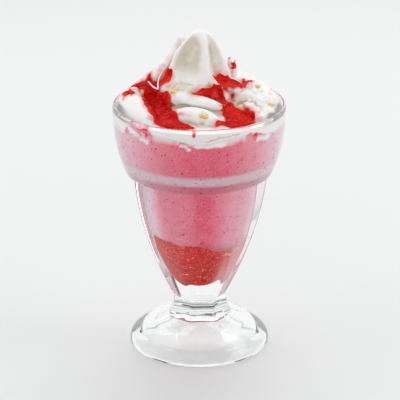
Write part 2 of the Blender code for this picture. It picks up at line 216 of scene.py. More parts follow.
def joined(name, objects):
    """Every object's mesh in one, with the objects removed."""
    bm = bmesh.new()
    for obj in objects:
        bm.from_mesh(obj.data)
        bpy.data.objects.remove(obj)
    return object_from(name, bm)


def add_ball(bm, segments, radius, matrix):
    around, upward = segments
    bmesh.ops.create_uvsphere(
        bm, u_segments=around, v_segments=upward, radius=radius * MM, matrix=matrix
    )


def melted(obj, voxel, smoothing):
    """Fuse overlapping shapes into one skin and soften it."""
    remesh = obj.modifiers.new("fuse", "REMESH")
    remesh.mode = "VOXEL"
    remesh.voxel_size = voxel * MM
    smooth = obj.modifiers.new("soften", "SMOOTH")
    smooth.factor = SMOOTHING
    smooth.iterations = smoothing
    return applied(obj)


def point_vectors(mesh, name):
    flat = np.empty(len(mesh.vertices) * 3)
    mesh.vertices.foreach_get(name, flat)
    return flat.reshape(-1, 3)


def positions(mesh):
    """The mesh's points in millimetres, as an array."""
    return point_vectors(mesh, "co") / MM


def normals_of(mesh):
    return point_vectors(mesh, "normal")


def move_points(mesh, points):
    mesh.vertices.foreach_set("co", (points * MM).ravel())
    mesh.update()


def point_colour(mesh, name, values):
    """Store one number a point, for the material to read."""
    attribute = mesh.attributes.new(name, "FLOAT", "POINT")
    attribute.data.foreach_set("value", np.asarray(values, dtype=np.float32))


def smoothstep(low, high, value):
    """0 at low, 1 at high and an even S between. Low may be the larger number."""
    t = np.clip((value - low) / (high - low), 0, 1)
    return t * t * (3 - 2 * t)


def fractal(points, size, roughness, octaves, lacunarity=2.0):
    """Noise with features about size millimetres across, one value a point."""
    places = (Vector(p) / size for p in points)
    return np.array([noise.fractal(p, roughness, lacunarity, octaves) for p in places])


# ---- profiles


def bezier(start, start_handle, end_handle, end, count):
    """Points along a cubic curve, both ends included."""
    corners = (start, start_handle, end_handle, end)
    points = []
    for i in range(count):
        t = i / (count - 1)
        s = 1 - t
        weights = (s**3, 3 * t * s**2, 3 * t**2 * s, t**3)
        points.append(tuple(sum(w * c[k] for w, c in zip(weights, corners)) for k in (0, 1)))
    return points


def band_radius(height):
    """Outer radius of the round band, nearly upright at the rim and curling in below."""
    drop = max(0.0, BAND_TOP - height) / (BAND_TOP - BAND_BOTTOM)
    return RIM_RADIUS - BAND_TAPER * drop**BAND_POWER


def outer_profile():
    """(radius, height) down the outside, from the rim to the middle of the underside."""
    drop = BAND_TOP - BAND_BOTTOM - LEDGE_ROUNDING
    heights = [BAND_TOP - drop * i / BAND_ROWS for i in range(BAND_ROWS + 1)]
    profile = [(band_radius(z), z) for z in heights]
    low = (BAND_BOTTOM + PANEL_TOP) / 2
    handles = (profile[-1][0] - LEDGE_HANDLE_IN, low), (PANEL_RADIUS + LEDGE_HANDLE_OUT, low)
    profile += bezier(profile[-1], *handles, PANEL_TOP_EDGE, LEDGE_STEPS)[1:]
    for curve in OUTSIDE_CURVES:
        profile += bezier(*curve)[1:]
    return profile + bezier(*UNDERSIDE_CURVE)


def cavity_profile():
    """(radius, height) up the inside, from the bottom's centre to the rim."""
    low, high = CAVITY_BAND
    rows = CAVITY_BAND_ROWS
    heights = [low + (high - low) * i / rows for i in range(rows + 1)]
    band = [(band_radius(z) - CAVITY_BAND_WALL, z) for z in heights]
    profile = bezier(*CAVITY_FLOOR_CURVE) + bezier(*CAVITY_SIDE_CURVE)[1:]
    shoulder = bezier(CAVITY_SHELF, *CAVITY_SHOULDER_HANDLES, band[0], CAVITY_SHOULDER_STEPS)
    return profile + shoulder[1:] + band[1:]


def rim_profile():
    """(radius, height) over the rim, from the inside to the outside."""
    inner = (RIM_RADIUS - RIM_WALL, BAND_TOP)
    middle = (RIM_RADIUS - RIM_WALL / 2, GLASS_HEIGHT)
    outer = (RIM_RADIUS, BAND_TOP)
    rise = BAND_TOP + RIM_HANDLE_RISE
    left, right = middle[0] - RIM_HANDLE_REACH, middle[0] + RIM_HANDLE_REACH
    up = bezier(inner, (inner[0], rise), (left, GLASS_HEIGHT), middle, RIM_STEPS)
    down = bezier(middle, (right, GLASS_HEIGHT), (outer[0], rise), outer, RIM_STEPS)
    return up + down[1:-1]


CAVITY = cavity_profile() + [(RIM_RADIUS - RIM_WALL, BAND_TOP)]
CAVITY_HEIGHTS = np.array([z for _, z in CAVITY])
CAVITY_RADII = np.array([r for r, _ in CAVITY])


def cavity_radius(height):
    """Radius of the cavity at a height, or at an array of heights."""
    return np.interp(height, CAVITY_HEIGHTS, CAVITY_RADII)


# ---- turned pieces


def turned(name, profile, steps, reshape=None):
    """Screw a closed profile round Z and move its points by reshape(array)."""
    mesh = bpy.data.meshes.new(name)
    verts = [(r * MM, 0.0, z * MM) for r, z in profile]
    mesh.from_pydata(verts, [(i, i + 1) for i in range(len(verts) - 1)], [])
    obj = new_object(name, mesh)
    screw = obj.modifiers.new("turn", "SCREW")
    screw.steps = screw.render_steps = steps
    screw.use_merge_vertices = True
    screw.merge_threshold = MERGE_DISTANCE * MM
    mesh = applied(obj)
    mesh.transform(Matrix.Rotation(math.radians(PANEL_EDGE_AZIMUTH - 90), 4, "Z"))
    if reshape:
        move_points(mesh, reshape(positions(mesh)))
    bm = bmesh.new()
    bm.from_mesh(mesh)
    bmesh.ops.recalc_face_normals(bm, faces=bm.faces)
    bm.to_mesh(mesh)
    bm.free()
    mesh.shade_smooth()
    return obj


def panel_factor(azimuth):
    """How far a panel's face lies inside the circle through the panels' edges."""

    def across(angle):
        centres = np.radians(PANEL_EDGE_AZIMUTH + (np.arange(PANELS) + 0.5) * 360 / PANELS)
        facing = np.cos(np.asarray(angle)[..., None] - centres).clip(0)
        return (facing**PANEL_SHARPNESS).sum(-1) ** (-1 / PANEL_SHARPNESS)

    return across(azimuth) / across(math.radians(PANEL_EDGE_AZIMUTH))


def panelled(points):
    """Press the seven panels into the bowl and stem, fading out where the foot begins."""
    x, y, z = points.T
    radius = np.hypot(x, y)
    top = PANEL_TOP + PANEL_ROUNDING
    below = z < CAVITY_BOTTOM - OFF_CAVITY_FLOOR
    outside = (radius > cavity_radius(z) + OFF_CAVITY_WALL) | below
    pressed = outside & (radius > PANEL_LEAST_RADIUS) & (z < top)
    over_foot = np.clip((z - STEM_FOOT[1] + PANEL_FADE_BELOW) / PANEL_FADE_HEIGHT, 0, 1)
    under_ledge = np.clip((top - z) / PANEL_ROUNDING, 0, 1)
    factor = 1 + over_foot * under_ledge * (panel_factor(np.arctan2(x, -y)) - 1)
    factor = np.where(pressed, factor, 1.0)
    return np.stack([x * factor, y * factor, z], 1)


def make_glass():
    profile = cavity_profile() + rim_profile() + outer_profile()
    glass = turned("clear_glass", profile, GLASS_STEPS, panelled)
    glass.data.set_sharp_from_angle(angle=math.radians(SHARP_ANGLE))
    return glass


# ---- the filling


def sauce_level(x, y):
    """Top of the bottom sauce: a slope from the left down to the right, with ripples."""
    azimuth = math.radians(SAUCE_STEP_AZIMUTH)
    across = x * math.sin(azimuth) - y * math.cos(azimuth)
    ripple = np.sin(SAUCE_RIPPLE_ALONG * x + SAUCE_RIPPLE_START)
    ripple = ripple * np.cos(SAUCE_RIPPLE_ACROSS * y)
    grain = fractal(np.stack([x, y, np.zeros_like(x)], 1), *SAUCE_GRAINS)
    unevenness = SAUCE_RIPPLE * ripple + SAUCE_GRAIN * grain
    return SAUCE_LEVEL - SAUCE_STEP * np.tanh(across / SAUCE_STEP_WIDTH) + unevenness


def milk_level(x, y):
    """Top of the milkshake: waves round the wall that die out towards the middle."""
    azimuth = np.arctan2(x, -y) - math.radians(MILK_WAVE_AZIMUTH)
    out = np.hypot(x, y).clip(0, RIM_RADIUS) / RIM_RADIUS
    return MILK_LEVEL + out * MILK_WAVE * np.cos(MILK_WAVES * azimuth)


def level_points(level):
    """Profile points from the wall to the axis, at a marked height that lay_on moves."""
    wall = float(cavity_radius(level)) + INTO_WALL
    return [(wall * i / LEVEL_RINGS, level) for i in range(LEVEL_RINGS, -1, -1)]


def wall_points(low, high):
    """Points up the cavity's wall between two heights, a little inside the glass."""
    count = int((high - low) / WALL_SPACING)
    heights = [low + (high - low) * i / count for i in range(count + 1)]
    return [(float(cavity_radius(z)) + INTO_WALL, z) for z in heights]


def lay_on(level, surface, shift):
    """A reshape that lifts the points at one height onto a surface, out to the wall."""

    def move(points):
        x, y, z = points.T
        marked = np.abs(z - level) < MARK_TOLERANCE
        height = surface(x, y) + shift
        scale = (cavity_radius(height) + INTO_WALL) / (cavity_radius(level) + INTO_WALL)
        scale = np.where(marked, scale, 1.0)
        return np.stack([x * scale, y * scale, np.where(marked, height, z)], 1)

    return move


def make_bottom_sauce():
    bottom = [(0, CAVITY_BOTTOM - INTO_WALL)]
    bottom += [(r + INTO_WALL, z - INTO_FLOOR) for r, z in bezier(*CAVITY_FLOOR_CURVE)[1:-1]]
    wall = wall_points(CAVITY_NECK[1], SAUCE_LEVEL - SAUCE_STEP - SAUCE_MARGIN)
    profile = bottom + wall[1:] + level_points(SAUCE_LEVEL)
    move = lay_on(SAUCE_LEVEL, sauce_level, SAUCE_OVERLAP)
    return turned("sauce_fill", profile, FILL_STEPS, move)


def make_milkshake():
    low, high = SAUCE_LEVEL + SAUCE_STEP + SAUCE_MARGIN, MILK_LEVEL - MILK_WAVE - MILK_MARGIN
    profile = level_points(SAUCE_LEVEL)[::-1] + wall_points(low, high) + level_points(MILK_LEVEL)
    lower = lay_on(SAUCE_LEVEL, sauce_level, 0.0)
    upper = lay_on(MILK_LEVEL, milk_level, 0.0)
    return turned("milkshake_fill", profile, FILL_STEPS, lambda points: upper(lower(points)))


# Light painted on the milkshake round the wall: paler where the glass shows it lit and
# whitened by reflections, as (azimuth, paleness), all the way round.
BAND_PALENESS = (
    (-180, 0.3), (-150, 0.12), (-120, 0.45), (-95, 1.4), (-78, 1.4), (-68, 0.98), (-57, 0.84),
    (-42, 0.55), (-32, 0.33), (-22, 0.17), (-12, 0.05), (-5, 0), (12, 0), (20, 0.06), (27, 0.18),
    (37, 0.36), (47, 0.57), (57, 0.8), (68, 1), (78, 1.4), (95, 1.4), (120, 0.4), (150, 0.1),
    (180, 0.3),
)
# The same painted light where the milkshake shows through the panels.
PANEL_PALENESS = (
    (-180, 0.8), (-158, 0.8), (-150, 0.3), (-125, 0.1), (-108, 1.5), (-90, 1.5), (-66, 0.9),
    (-61, 0.76), (-56, 0.55), (-50, 0.36), (-40, 0.28), (-27, 0.25), (-17, 0.19), (-11, 0.12),
    (-4, 0.02), (4, 0), (12, 0), (17, 0.06), (24, 0.2), (32, 0.31), (42, 0.48), (49, 0.56),
    (60, 0.6), (70, 0.78), (80, 0.95), (88, 1.1), (104, 0.3), (109, 1.5), (134, 1.5), (138, 0.2),
    (148, 0.1), (156, 0.8), (180, 0.8),
)
# Over the shelf the painted light blends from the panels' to the band's, and painted light lifts
# the shade on the shelf's downward-facing milkshake.
SHELF_TOP = 113.0
SHELF_BLEND = 7
SHELF_PAINTED_LIGHT = 0.14
SHELF_PALE_BELOW = 3
SHELF_PALE_HEIGHT = 4
# A painted highlight: a pale ring over the shelf, as (height, half height, paleness). The sides'
# is paler.
SHELF_HIGHLIGHT_RING = (115.9, 3.3, 1.2)
SIDE_RING_PALENESS = 0.6
SIDE_AZIMUTHS = (25, 75)
# Light painted on the bottom sauce as paleness, in the same terms as the milkshake.
SAUCE_PALENESS = (
    (-180, 1.2), (-160, 1.2), (-152, 0), (-112, 0), (-105, 1.5), (-93, 1.5), (-88, 0.3),
    (-70, 0.22), (-50, 0.12), (-30, 0.05), (-10, 0), (22, 0), (35, 0.08), (45, 0.3), (53, 0.75),
    (90, 0.75), (104, 0.2), (109, 1.5), (134, 1.5), (138, 0), (150, 0), (158, 1.2), (180, 1.2),
)

# Height of the cream's lower edge on the glass, as (azimuth, height).
CREAM_EDGE = (
    (-180, 139.5), (-150, 142), (-120, 138.6), (-100, 138), (-62, 138.6), (-58, 143),
    (-50, 146.6), (-39, 147.4), (-36, 146), (-33, 143.4), (-29, 141.9), (-15, 141.8),
    (-10, 141.2), (-6.6, 140), (-1.6, 138), (6, 137.8), (14, 138.2), (22, 138.8), (26, 139.5),
    (29.6, 140.6), (33, 143), (37, 144), (45, 142.4), (52, 140), (62, 139.5), (80, 141),
    (110, 138.6), (145, 141.4), (180, 139.5),
)
# Streaks on the glass near that edge, as (azimuth, height, azimuth, height, half width).
WHITE_STREAKS = (
    (-55, 143.3, -38, 138.2, 1.5), (-15, 140.8, -6.6, 137.2, 0.8), (44, 139.4, 54, 138.8, 1.7),
    (96, 137, 112, 141, 1.2), (150, 138, 170, 136, 1),
)
PINK_STREAKS = (
    (-47, 148, -36, 148.2, 1.6), (4.8, 141.6, 13.3, 143.9, 0.35),
    (13.3, 143.9, 28.4, 144.5, 0.35),
)
RED_STREAKS = (
    (-41, 143.8, -31, 140.2, 0.5), (-46.5, 144.9, -38, 145.4, 0.6), (27, 139.4, 42, 142.8, 0.8),
    (-3.5, 148.6, -3.5, 145.2, 1), (128, 141, 140, 143, 0.9),
)
# A streak fades out between these shares of its half width, and the cream between these
# heights over its edge. Noise moves the edge and the pink and red streaks up and down.
STREAK_FADE = (0.6, 1.3)
EDGE_FADE = (-0.5, 0.7)
EDGE_WANDER = 0.5
RED_WANDER = 0.8


def round_the_wall(stations, azimuth):
    """Values that run evenly between (azimuth, value) stations, in degrees."""
    return np.interp(azimuth, *np.array(stations).T)


def streak_cover(streaks, azimuth, height):
    """1 on a streak and 0 away from it."""
    around = RIM_RADIUS * math.pi / 180
    cover = np.zeros_like(height)
    for azimuth_0, z0, azimuth_1, z1, half in streaks:
        dx, dz = (azimuth_1 - azimuth_0) * around, z1 - z0
        x, z = (azimuth - azimuth_0) * around, height - z0
        t = np.clip((x * dx + z * dz) / (dx * dx + dz * dz), 0, 1)
        away = np.hypot(x - t * dx, z - t * dz)
        cover = np.maximum(cover, 1 - smoothstep(*STREAK_FADE, away / half))
    return cover


def wall_places(points):
    """Azimuth in degrees and height of each point."""
    x, y, z = points.T
    return np.degrees(np.arctan2(x, -y)), z


def cream_cover(points):
    """How much cream shows on the glass at each point, from 0 to 1, and how much red."""
    azimuth, height = wall_places(points)
    ragged = fractal(points, *RAGGED_EDGES)
    edge = round_the_wall(CREAM_EDGE, azimuth) + EDGE_WANDER * ragged
    white = smoothstep(*EDGE_FADE, height - edge)
    pink = streak_cover(PINK_STREAKS, azimuth, height + EDGE_WANDER * ragged)
    streaks = streak_cover(WHITE_STREAKS, azimuth, height + ragged)
    red = streak_cover(RED_STREAKS, azimuth, height + RED_WANDER * ragged)
    return np.maximum(np.minimum(white, 1 - pink), streaks), red


def milk_paleness(points):
    """Painted light: pale and deep pink zones round the bowl, and a painted highlight ring over
    the shelf.
    """
    azimuth, height = wall_places(points)
    band = round_the_wall(BAND_PALENESS, azimuth)
    panels = round_the_wall(PANEL_PALENESS, azimuth)
    painted_paleness = panels + (band - panels) * smoothstep(SHELF_TOP - SHELF_BLEND, SHELF_TOP, height)
    from_shelf = (height - SHELF_TOP + SHELF_PALE_BELOW) / SHELF_PALE_HEIGHT
    painted_paleness = painted_paleness + SHELF_PAINTED_LIGHT * np.exp(-(from_shelf**2))
    # A painted highlight ring over the shelf, paler at the sides.
    ring_height, ring_half, ring_paleness = SHELF_HIGHLIGHT_RING
    ring = np.exp(-(((height - ring_height) / ring_half) ** 4))
    side = smoothstep(*SIDE_AZIMUTHS, np.abs(azimuth))
    return painted_paleness + (ring_paleness + SIDE_RING_PALENESS * side - painted_paleness).clip(0) * ring


def paint_filling(sauce, milk):
    """Store what the filling's materials read: painted paleness for light, cream and red, one
    value a point.
    """
    points = positions(milk.data)
    white, red = cream_cover(points)
    point_colour(milk.data, "painted_paleness", milk_paleness(points))
    point_colour(milk.data, "cream", white)
    point_colour(milk.data, "red", red)
    azimuth, _ = wall_places(positions(sauce.data))
    point_colour(sauce.data, "painted_paleness", round_the_wall(SAUCE_PALENESS, azimuth))


# ---- the cream

# Strokes of cream, each a row of (x, y, z, radius) along its middle.
STROKES = {
    "back_fin": (
        (-38, 5, 151.5, 5), (-33, 8, 155.5, 5), (-25, 11.5, 160, 5.2),
        (-15.6, 12, 169.5, 5), (-12.8, 12, 179.8, 2.6), (-12, 12, 184.6, 1.1),
    ),
    "fin_web": (
        (-15, 12, 158, 6), (-10, 13, 170, 5), (-8.5, 12.5, 179, 3.5), (-8.5, 12, 184, 1.4),
    ),
    "left_lobe": (
        (-40, 6, 150, 6), (-39.5, 0, 150.6, 7), (-37, -9, 149.8, 7.5),
        (-33, -20, 148.6, 6.6), (-27.5, -29, 147, 4.6),
    ),
    "left_bed": ((-34, 3, 153, 4.5), (-27, 2, 155, 5), (-20, 0, 156.5, 5), (-15, -3, 158, 5)),
    "left_spur": ((-36, 1, 155, 2.5), (-37.5, -2, 157.6, 2), (-39.5, -4, 158, 1.2)),
    "skirt_front": ((-11, -11, 160, 3.4), (-2, -15, 159.6, 3.8), (9, -13.5, 160.4, 2.2)),
    "skirt_right": ((1.5, -8.5, 172, 2.6), (6, -11, 165.6, 2.6), (12, -12, 161.6, 1.6)),
    "ribbon_root": ((-20.5, -9, 155.2, 3.4), (-17, -12, 156.2, 4.8), (-12, -14, 156, 4.8)),
    "ribbon": (
        (-16, -13, 157.5, 4.6), (-10, -16.5, 157.6, 4.8), (-1, -19.5, 156.4, 4.6),
        (7, -21.5, 154.9, 4), (11.5, -22, 154, 2.6),
    ),
    "curl": (
        (-12, -26, 149.5, 5), (-6, -28, 151, 6), (2, -30.5, 150.6, 6),
        (9, -34, 147.8, 4.8), (14, -38, 145.6, 3.2),
    ),
    "blob_shelf": ((10, -2, 161.5, 5.5), (16, -3, 159.5, 5), (22, -4, 158, 4.2)),
    "right_lobe": (
        (24, -4, 153, 6), (28, -5, 153.5, 7), (35, -9, 150.6, 7.5), (37.5, -18, 147, 6.2),
    ),
    "right_back_lobe": (
        (22, 9, 153, 8), (29, 10, 154.2, 7.2), (36, 8, 151.5, 6.6), (40, -3, 149.4, 6),
    ),
    "right_knob": ((29, -3, 157.5, 4.5), (35, -1, 157.2, 4), (37.6, -6, 155.5, 3)),
    "right_crumple": ((33, -12, 154, 3.6), (38, -11, 153.2, 3.2), (41, -5, 152.8, 3)),
    "right_edge": ((28, -17, 151.5, 3.6), (33, -21, 149.8, 4), (35.5, -27, 147.4, 3.4)),
    "right_tip": ((13, 4, 157, 6), (16, 6, 163, 3.6), (17.4, 8, 169, 1.7), (17.6, 9, 173.4, 0.9)),
    "right_spike": (
        (18, 4, 158, 4.5), (20, 6, 164, 2.4), (20.5, 7.5, 169, 1.3), (20.7, 8.5, 172, 0.8),
    ),
    "back_lobe": ((-25, 27, 148, 9), (-8, 33, 151, 10), (10, 31, 151.5, 10), (26, 25, 149, 9)),
    "back_fold": ((14, 14, 159, 6), (4, 22, 160, 6.5), (-9, 23, 159, 6.5), (-20, 17, 156, 6)),
}
FLAT_STROKES = {"ribbon": 0.72, "curl": 0.8, "ribbon_root": 0.8}

# The bed of cream that fills the glass and bulges up to the middle, as (radius, height).
MOUND = (
    (0, 157), (14, 155), (25, 151.5), (34, 148.6), (41, 147.2), (46, 146.6), (49, 146),
    (49, MILK_LEVEL - 6), (0, MILK_LEVEL - 6),
)
# Small unevenness starts between these heights, and deeper folds between these X and Y.
UNEVEN_ABOVE = (146, 150)
UNEVEN_HEIGHT = 0.35
FOLDS_FROM_X = (18, 30)
FOLDS_FROM_Y = (-30, -22)
FOLD_SIZE = 4.2
FOLD_DEPTH = 1.9
FOLD_CREST = 0.35
# How far the cream may go into the milkshake, into the glass and out over the rim.
CREAM_SINK = 0.1
CREAM_INTO_WALL = INTO_WALL + 0.05
CREAM_OVERHANG = 3
ABOVE_ALL = 260

# Poured sauce as seen from above, each a row of (x, y, half width).
DRIZZLE = (
    ((-38, 4.5, 1.8), (-33, 2.5, 3.4), (-27, 1.2, 4.8), (-20.5, 1, 4.2), (-17, -2, 2.2)),
    ((-29, 8, 1.6), (-28.5, 1, 3.6), (-27.5, -6, 5.6), (-25.5, -14, 7), (-22.5, -22, 7.6)),
    ((-22.5, -22, 7.6), (-19, -31, 6.4), (-15.5, -36, 6.2), (-9, -38.5, 4), (-4, -40.5, 1.8)),
    ((-20.5, 1, 1.4), (-17.5, -3.5, 1.2)),
    ((-43, -3, 1.6), (-41, -6, 2.3), (-38, -7.5, 1.8)),
    ((8.5, -8, 1.4), (12, -6.2, 2.8), (17, -4.8, 3), (23, -5.2, 2.2)),
    ((-3, -17.5, 1), (4, -16.5, 1.9), (11, -13.8, 2.2), (15.5, -12.6, 2)),
    ((18, -12.8, 1.9), (17.5, -17, 3.8), (20, -23, 7.4), (23, -28, 9.2), (21.5, -33, 7.8)),
    ((17, -36, 3), (10.5, -38, 1.6)),
    ((19.2, 9, 1.2), (19.6, 7, 1.5), (20, 5.4, 1.1)),
    ((25.5, 8, 1), (26, 5, 1.4), (29.5, 6, 1)),
    ((24.5, -4.8, 1), (28, -3.6, 1.3)),
    ((-6, 30, 5), (4, 33, 4), (13, 29, 3)),
)

# Threads of cream that hang over the poured sauce, each a row of (x, y, z).
THREADS = (
    ((-29.2, 3, 160.7), (-27.8, -1.5, 160.4), (-26.1, -4, 159.6), (-23.4, -6.5, 159.2)),
    (
        (-17.9, 6.5, 170.2), (-21, 5.5, 166.4), (-22.9, 3.5, 163), (-23.9, -2.5, 161.2),
        (-23.4, -6.5, 159.2),
    ),
)
THREAD_RADIUS = 0.42

# The poured sauce's outline wanders, and its sheet thickens inwards from its edge.
POUR_OUTSIDE = -99.0
POUR_WANDER = 0.4
POUR_WAVES = (0.9, 0.4, 0.8, 0.3)
POUR_ROOM = 3
POUR_THICKNESS = 1.3
POUR_EDGE_SHARE = 0.3
POUR_EDGE_SLOPE = 0.28
POUR_LUMP = 0.3
POUR_LUMP_SLICE = 3.0
POUR_DEPTH = 2.4
POUR_ROUNDS = 3

# Where shade is painted on the cream: how often it is blurred to find hollows, their depths,
# and the peak's flutes, of which the one on the lit side is fainter.
HOLLOW_ROUNDS = 80
HOLLOW_DEPTHS = (0.05, 0.9)
FLUTE_NEAR = (1.12, 1.0)
FLUTE_SHADE = (0.04, 0.45)
FLUTE_SHADE_HEIGHTS = (164, 175)
LIT_AZIMUTHS = (18, 95)
LIT_FLUTE = 0.6
MARK_FADE = (1.2, 0.2)

# Where sauce and milkshake show on the cream. A reach is measured inwards from the pour's edge.
STAIN_REACH = (-3.4, 0.6)
STAIN_WANDER = 1.6
STAIN_FACING = (0.2, 0.6)
STAIN_HEIGHTS = (MILK_LEVEL + 4, MILK_LEVEL + 7)
POURED_REACH = (-0.2, 0.5)
POURED_HEIGHTS = (165, 160)
THIN_REACH = (1.6, 0.0)
AT_WALL = (-1.5, -0.4)
BELOW_RIM = (GLASS_HEIGHT, GLASS_HEIGHT - 1.5)

# Soft marks on the cream, each (x, y, z, radius, strength): painted beige shade, and sauce soaked
# in.
SHADE_MARKS = (
    (-11, -9, 169, 6, 0.6), (-10, -13, 163, 6, 0.7), (-3, -17, 160, 6, 0.8), (5, -16, 160, 5, 0.6),
    (-6, -20, 153, 4, 0.8), (-28, -29, 149, 4, 0.5), (37, -13, 152, 4, 0.4), (6, -36, 147, 5, 0.4),
)
STAIN_MARKS = (
    (-20, 6, 166, 6, 0.75), (-17, 7, 172, 4, 0.55), (-31, 6, 160, 5, 0.6), (-16, -22, 153, 4, 0.6),
    (7, -10, 165, 4, 0.55), (26, 3, 161, 5, 0.5), (33.5, -29, 148, 4, 0.7), (40, -4, 156, 3, 0.4),
)
# Painted grey shade inside the rim at both sides, as (azimuth, strength), and where it fades in
# from the cream's middle, from below and from above.
RIM_SHADE = (
    (-180, 0), (-125, 0), (-100, 1), (-60, 1), (-40, 0.6), (-32, 0), (46, 0), (60, 0.9), (100, 1),
    (125, 0), (180, 0),
)
RIM_SHADE_AT_WALL = (-2.8, -1.6)
RIM_SHADE_BOTTOM = (144.8, 146.2)
RIM_SHADE_TOP = (151.0, 149.5)

# Golden drops pressed into the cream, each (x, y, radius). Round each the cream has a raised
# rim and a pit, both as (height, distance, width) in shares of the radius but for the height.
BEADS = (
    (-14.6, -15, 2.2), (24, -12.5, 2.5), (2.6, -35.3, 2), (40.5, -15.5, 1.6), (33.2, -4, 1.4),
)
BEAD_SHAPE = (1.25, 1.0, 0.7, 1.0)
BEAD_LIFT = 0.7
PIT_STRETCH = 1.2
PIT_ABOVE = MILK_LEVEL + 5
PIT_RIM = (0.6, 1.35, 0.3)
PIT = (0.8, 0.0, 0.9)


def stroke_object(name, points):
    """A tapering tube along a smooth curve, pressed flat where FLAT_STROKES says so."""
    flat = FLAT_STROKES.get(name, 1.0)
    curve = bpy.data.curves.new(name, "CURVE")
    curve.dimensions = "3D"
    curve.bevel_depth = MM
    curve.bevel_resolution = STROKE_BEVEL
    curve.use_fill_caps = True
    curve.resolution_u = STROKE_STEPS
    spline = curve.splines.new("NURBS")
    spline.points.add(len(points) - 1)
    spline.order_u = 3
    spline.use_endpoint_u = True
    for place, (x, y, z, radius) in zip(spline.points, points):
        place.co = (x * MM, y * MM, z * MM / flat, 1.0)
        place.radius = radius
    obj = new_object(name, curve)
    graph = bpy.context.evaluated_depsgraph_get()
    mesh = bpy.data.meshes.new_from_object(obj.evaluated_get(graph))
    bpy.data.objects.remove(obj)
    bm = bmesh.new()
    bm.from_mesh(mesh)
    bpy.data.meshes.remove(mesh)
    bmesh.ops.remove_doubles(bm, verts=bm.verts, dist=MERGE_DISTANCE * MM)
    for x, y, z, radius in (points[0], points[-1]):
        centre = Matrix.Translation(Vector((x, y, z / flat)) * MM)
        add_ball(bm, CAP_SEGMENTS, radius, centre)
    obj = object_from(name, bm)
    obj.data.transform(Matrix.Diagonal((1, 1, flat, 1)))
    return obj


def peak_radius(height):
    """A dome that opens out downwards, as measured on its outline."""
    return PEAK_SPREAD * np.maximum(PEAK_TOP - height, PEAK_LEAST_DROP) ** PEAK_POWER


def flute_across(azimuth, height):
    """0 on the peak's ridges and 1 in the middle of each flute. They twist as they rise."""
    rise = (height - PEAK_BASE) / (PEAK_TOP - PEAK_BASE)
    degrees = (np.degrees(azimuth) + FLUTE_TWIST * (rise - FLUTE_UNTWISTED)) % 360
    ridges = sorted(r % 360 for r in PEAK_RIDGES)
    ridges = np.array([ridges[-1] - 360] + ridges + [ridges[0] + 360])
    before = np.searchsorted(ridges, degrees, side="right") - 1
    start, end = ridges[before], ridges[before + 1]
    across = np.sin(np.pi * (degrees - start) / (end - start)).clip(0)
    low, full, waning, high = FLUTE_ENDS
    waxed = np.clip((rise - low) / (full - low), 0, 1)
    waned = np.clip((high - rise) / (high - waning), 0, 1)
    return across**FLUTE_POWER * (waxed * waned)


def fluted(points):
    """Press the flutes into the turned peak, and lean its top down to the left."""
    x, y, z = points.T
    factor = 1 - FLUTE_DEPTH * flute_across(np.arctan2(x, -y), z)
    lean_x, lean_y = PEAK_CENTRE
    x, y = x * factor, y * factor * PEAK_FLATNESS
    near_top = np.clip((z - PEAK_TOP) / PEAK_TILT_HEIGHT + 1, 0, 1)
    z = z + PEAK_TILT * near_top * np.minimum(0, x)
    return np.stack([x + lean_x, y + lean_y, z], 1)


def make_peak():
    rise = PEAK_TOP - PEAK_CAP_DEPTH - PEAK_BASE
    heights = [PEAK_BASE + rise * i / PEAK_RINGS for i in range(PEAK_RINGS, -1, -1)]
    profile = [(radius, PEAK_TOP + z) for radius, z in PEAK_CAP]
    profile += [(peak_radius(z) + PEAK_SKIN, z) for z in heights]
    return turned("peak", profile + [(0, PEAK_BASE)], PEAK_STEPS, fluted)


def drizzle_reach(x, y):
    """How far inside the poured sauce a place is, in millimetres, negative outside."""
    x, y = np.asarray(x, float), np.asarray(y, float)
    reach = np.full(x.shape, POUR_OUTSIDE)
    for stroke in DRIZZLE:
        for (x0, y0, w0), (x1, y1, w1) in zip(stroke, stroke[1:]):
            dx, dy = x1 - x0, y1 - y0
            t = (((x - x0) * dx + (y - y0) * dy) / (dx * dx + dy * dy)).clip(0, 1)
            away = np.hypot(x - x0 - t * dx, y - y0 - t * dy)
            reach = np.maximum(reach, w0 + (w1 - w0) * t - away)
    a, b, c, d = POUR_WAVES
    return reach + POUR_WANDER * np.sin(a * x + b * y) * np.cos(c * y - d * x)


def crumpled(mesh):
    """Small soft unevenness all over, and deeper crumples in the mass on the right."""
    points, normals = positions(mesh), normals_of(mesh)
    x, y, z = points.T
    right = smoothstep(*FOLDS_FROM_X, x) * smoothstep(*FOLDS_FROM_Y, y)
    folds = np.array([abs(noise.noise(Vector(p) / FOLD_SIZE)) for p in points])
    lift = UNEVEN_HEIGHT * fractal(points, *CREAM_UNEVENNESS)
    lift = (lift - right * FOLD_DEPTH * (FOLD_CREST - folds)) * smoothstep(*UNEVEN_ABOVE, z)
    move_points(mesh, points + normals * (lift + bead_relief(points))[:, None])


def fit_to_room(mesh):
    """Keep the cream inside the glass and above the milkshake."""
    x, y, z = positions(mesh).T
    radius = np.hypot(x, y)
    z = np.maximum(z, milk_level(x, y) - CREAM_SINK)
    inside, over_rim = cavity_radius(z) + CREAM_INTO_WALL, RIM_RADIUS + CREAM_OVERHANG
    room = np.where(z < GLASS_HEIGHT, inside, over_rim)
    scale = room / np.maximum(radius, room)
    move_points(mesh, np.stack([x * scale, y * scale, z], 1))


def surface_finder(obj):
    """A function that drops straight down on the object: place (x, y) to point, normal."""
    tree = BVHTree.FromPolygons(
        [v.co for v in obj.data.vertices], [p.vertices[:] for p in obj.data.polygons]
    )
    down = Vector((0, 0, -1))
    return lambda x, y: tree.ray_cast(Vector((x, y, ABOVE_ALL)) * MM, down)[:2]


